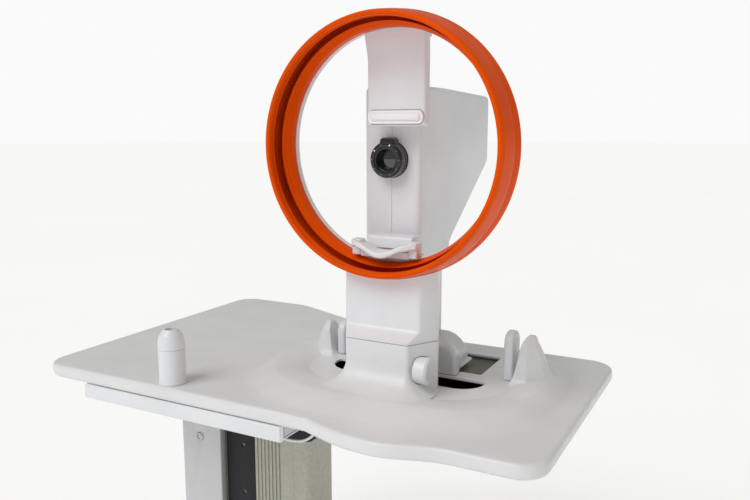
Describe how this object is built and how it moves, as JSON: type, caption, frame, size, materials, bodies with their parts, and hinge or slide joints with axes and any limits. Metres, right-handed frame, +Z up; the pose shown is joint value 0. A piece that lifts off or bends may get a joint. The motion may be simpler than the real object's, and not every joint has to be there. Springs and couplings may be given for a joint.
{
  "type": "table-mounted retinal imaging instrument",
  "caption": "Retinal imaging instrument on a motorised lift table: orange head ring, chin and forehead rest, movable optical head, keyboard tray and castors.",
  "frame": {"origin": "centre of the bounding box on the floor, under the tabletop", "axes": "+Z up, the patient sits on the -Y side and looks along +Y, +X to the right seen from the patient side"},
  "size_m": [1.003, 0.683, 1.4094],
  "materials": {
    "white_shell": "satin",
    "tabletop": "satin",
    "orange_ring": "gloss",
    "black_plastic": "matte",
    "rubber_tread": "matte",
    "shield": "satin",
    "aluminium": "anodised",
    "steel": "brushed",
    "frame_paint": "powder coat",
    "cabinet_paint": "powder coat",
    "glass": "polished",
    "pad": "soft",
    "light_ring": "gloss",
    "circuit": "matte",
    "lead": "satin"
  },
  "bodies": {
    "base": {"base_frame": "frame_paint", "lift_lower_profile": "aluminium", "actuator_rod": "steel"},
    "table": {"tabletop": "tabletop", "underframe": "frame_paint", "lift_upper_profile": "aluminium", "lift_drive": "black_plastic", "cabinet_shell": "cabinet_paint", "cabinet_rear_panel": "cabinet_paint", "computer_unit": "circuit", "pole_socket": "white_shell", "socket_cap": "white_shell", "tray_rail_left": "steel", "tray_rail_right": "steel", "table_lead": "lead", "hand_grip_left": "white_shell", "hand_grip_right": "white_shell", "column_post": "steel", "column_shell": "white_shell", "rear_clip": "black_plastic", "head_ring": "orange_ring", "back_ring": "white_shell", "forehead_bridge": "white_shell", "forehead_pad": "pad", "front_x_rail": "steel", "rear_x_rail": "steel"},
    "power_button": {"power_button": "black_plastic"},
    "lift_rocker": {"lift_rocker": "black_plastic"},
    "keyboard_tray": {"keyboard_tray": "white_shell"},
    "chin_rest": {"chin_carriage": "white_shell", "chin_cup": "white_shell"},
    "chin_knob": {"chin_knob": "white_shell"},
    "x_screw": {"x_screw": "steel"},
    "stage_x": {"x_carriage": "aluminium", "dust_shield": "shield"},
    "y_screw": {"y_screw": "steel"},
    "stage_y": {"y_carriage": "aluminium", "stage_cover": "white_shell", "neck_cover": "white_shell"},
    "z_screw": {"z_screw": "steel"},
    "head": {"head_shell_left": "white_shell", "head_shell_right": "white_shell", "objective_barrel": "black_plastic", "front_lens": "glass", "light_ring": "light_ring", "optical_bench": "aluminium", "scanner_block": "frame_paint"},
    "castor_front_left": {"castor_fork_front_left": "steel"},
    "wheel_front_left": {"castor_wheel_front_left": "rubber_tread"},
    "brake_front_left": {"castor_brake_front_left": "black_plastic"},
    "castor_front_right": {"castor_fork_front_right": "steel"},
    "wheel_front_right": {"castor_wheel_front_right": "rubber_tread"},
    "brake_front_right": {"castor_brake_front_right": "black_plastic"},
    "castor_rear_left": {"castor_fork_rear_left": "steel"},
    "wheel_rear_left": {"castor_wheel_rear_left": "rubber_tread"},
    "brake_rear_left": {"castor_brake_rear_left": "black_plastic"},
    "castor_rear_right": {"castor_fork_rear_right": "steel"},
    "wheel_rear_right": {"castor_wheel_rear_right": "rubber_tread"},
    "brake_rear_right": {"castor_brake_rear_right": "black_plastic"}
  },
  "joints": [
    {"name": "table_lift", "type": "slide", "parent": "base", "child": "table", "axis": [0, 0, 1], "range_m": [-0.08, 0.15]},
    {"name": "tray_slide", "type": "slide", "parent": "table", "child": "keyboard_tray", "axis": [0, -1, 0], "range_m": [0, 0.15]},
    {"name": "chin_lift", "type": "slide", "parent": "table", "child": "chin_rest", "axis": [0, 0, 1], "range_m": [0, 0.055]},
    {"name": "chin_knob_turn", "type": "hinge", "parent": "table", "child": "chin_knob", "pos_m": [0.2535, -0.1535, 0.814], "axis": [1, 0, 0], "range_deg": [0, 316]},
    {"name": "stage_x_slide", "type": "slide", "parent": "table", "child": "stage_x", "axis": [1, 0, 0], "range_m": [-0.014, 0.072]},
    {"name": "x_screw_turn", "type": "hinge", "parent": "table", "child": "x_screw", "pos_m": [0.1735, -0.0515, 0.748], "axis": [1, 0, 0], "range_deg": [-510, 2600]},
    {"name": "stage_y_slide", "type": "slide", "parent": "stage_x", "child": "stage_y", "axis": [0, 1, 0], "range_m": [-0.01, 0.025]},
    {"name": "y_screw_turn", "type": "hinge", "parent": "stage_x", "child": "y_screw", "pos_m": [0.1455, 0.0265, 0.782], "axis": [0, 1, 0], "range_deg": [-725, 1805]},
    {"name": "head_z_slide", "type": "slide", "parent": "stage_y", "child": "head", "axis": [0, 0, 1], "range_m": [-0.02, 0.02]},
    {"name": "z_screw_turn", "type": "hinge", "parent": "stage_y", "child": "z_screw", "pos_m": [0.1455, 0.0085, 0.985], "axis": [0, 0, 1], "range_deg": [-1445, 1445]},
    {"name": "power_press", "type": "slide", "parent": "table", "child": "power_button", "axis": [0, 1, 0], "range_m": [0, 0.0025], "stiffness_N_per_m": 800, "springref_m": -0.001},
    {"name": "lift_rocker_tilt", "type": "hinge", "parent": "table", "child": "lift_rocker", "pos_m": [0.2135, -0.2755, 0.7275], "axis": [1, 0, 0], "range_deg": [-8, 8], "stiffness_Nm_per_rad": 0.2},
    {"name": "swivel_front_left", "type": "hinge", "parent": "base", "child": "castor_front_left", "pos_m": [-0.3865, -0.2865, 0.09], "axis": [0, 0, 1], "continuous": true},
    {"name": "roll_front_left", "type": "hinge", "parent": "castor_front_left", "child": "wheel_front_left", "pos_m": [-0.3865, -0.2585, 0.0375], "axis": [1, 0, 0], "continuous": true},
    {"name": "brake_press_front_left", "type": "hinge", "parent": "castor_front_left", "child": "brake_front_left", "pos_m": [-0.3865, -0.2605, 0.083], "axis": [1, 0, 0], "range_deg": [-14, 0]},
    {"name": "swivel_front_right", "type": "hinge", "parent": "base", "child": "castor_front_right", "pos_m": [0.3035, -0.2865, 0.09], "axis": [0, 0, 1], "continuous": true},
    {"name": "roll_front_right", "type": "hinge", "parent": "castor_front_right", "child": "wheel_front_right", "pos_m": [0.3035, -0.2585, 0.0375], "axis": [1, 0, 0], "continuous": true},
    {"name": "brake_press_front_right", "type": "hinge", "parent": "castor_front_right", "child": "brake_front_right", "pos_m": [0.3035, -0.2605, 0.083], "axis": [1, 0, 0], "range_deg": [-14, 0]},
    {"name": "swivel_rear_left", "type": "hinge", "parent": "base", "child": "castor_rear_left", "pos_m": [-0.3865, 0.1695, 0.09], "axis": [0, 0, 1], "continuous": true},
    {"name": "roll_rear_left", "type": "hinge", "parent": "castor_rear_left", "child": "wheel_rear_left", "pos_m": [-0.3865, 0.1975, 0.0375], "axis": [1, 0, 0], "continuous": true},
    {"name": "brake_press_rear_left", "type": "hinge", "parent": "castor_rear_left", "child": "brake_rear_left", "pos_m": [-0.3865, 0.1955, 0.083], "axis": [1, 0, 0], "range_deg": [-14, 0]},
    {"name": "swivel_rear_right", "type": "hinge", "parent": "base", "child": "castor_rear_right", "pos_m": [0.3035, 0.1695, 0.09], "axis": [0, 0, 1], "continuous": true},
    {"name": "roll_rear_right", "type": "hinge", "parent": "castor_rear_right", "child": "wheel_rear_right", "pos_m": [0.3035, 0.1975, 0.0375], "axis": [1, 0, 0], "continuous": true},
    {"name": "brake_press_rear_right", "type": "hinge", "parent": "castor_rear_right", "child": "brake_rear_right", "pos_m": [0.3035, 0.1955, 0.083], "axis": [1, 0, 0], "range_deg": [-14, 0]}
  ],
  "couplings": [
    {"joint": "chin_knob_turn", "follows": "chin_lift", "rad_per_m": 100},
    {"joint": "x_screw_turn", "follows": "stage_x_slide", "rad_per_m": 628.32},
    {"joint": "y_screw_turn", "follows": "stage_y_slide", "rad_per_m": 1256.6},
    {"joint": "z_screw_turn", "follows": "head_z_slide", "rad_per_m": 1256.6}
  ]
}
